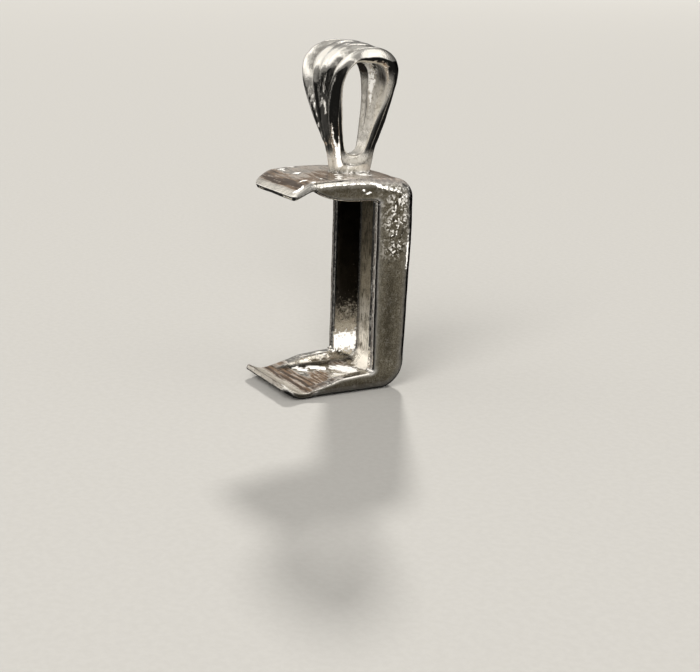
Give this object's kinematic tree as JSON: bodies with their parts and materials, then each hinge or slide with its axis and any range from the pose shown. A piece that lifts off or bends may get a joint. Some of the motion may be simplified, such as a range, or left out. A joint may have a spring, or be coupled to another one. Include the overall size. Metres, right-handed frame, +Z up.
{
  "type": "pendant setting",
  "caption": "Open silver pendant setting: a channel bent into a C grips a stone at both ends between inturned lips, under a fluted teardrop bail.",
  "frame": {"origin": "bottom centre of the bounding box, on the surface that the bottom arm stands on", "axes": "+Z up through the bail, -Y out of the open front where the stone goes, +X across the width, towards the side that the picture shows"},
  "size_m": [0.0062, 0.009, 0.0218],
  "materials": {
    "silver": "polished cast silver with satin side faces and light brown tarnish"
  },
  "bodies": {
    "root": {"setting": "silver"}
  },
  "joints": []
}
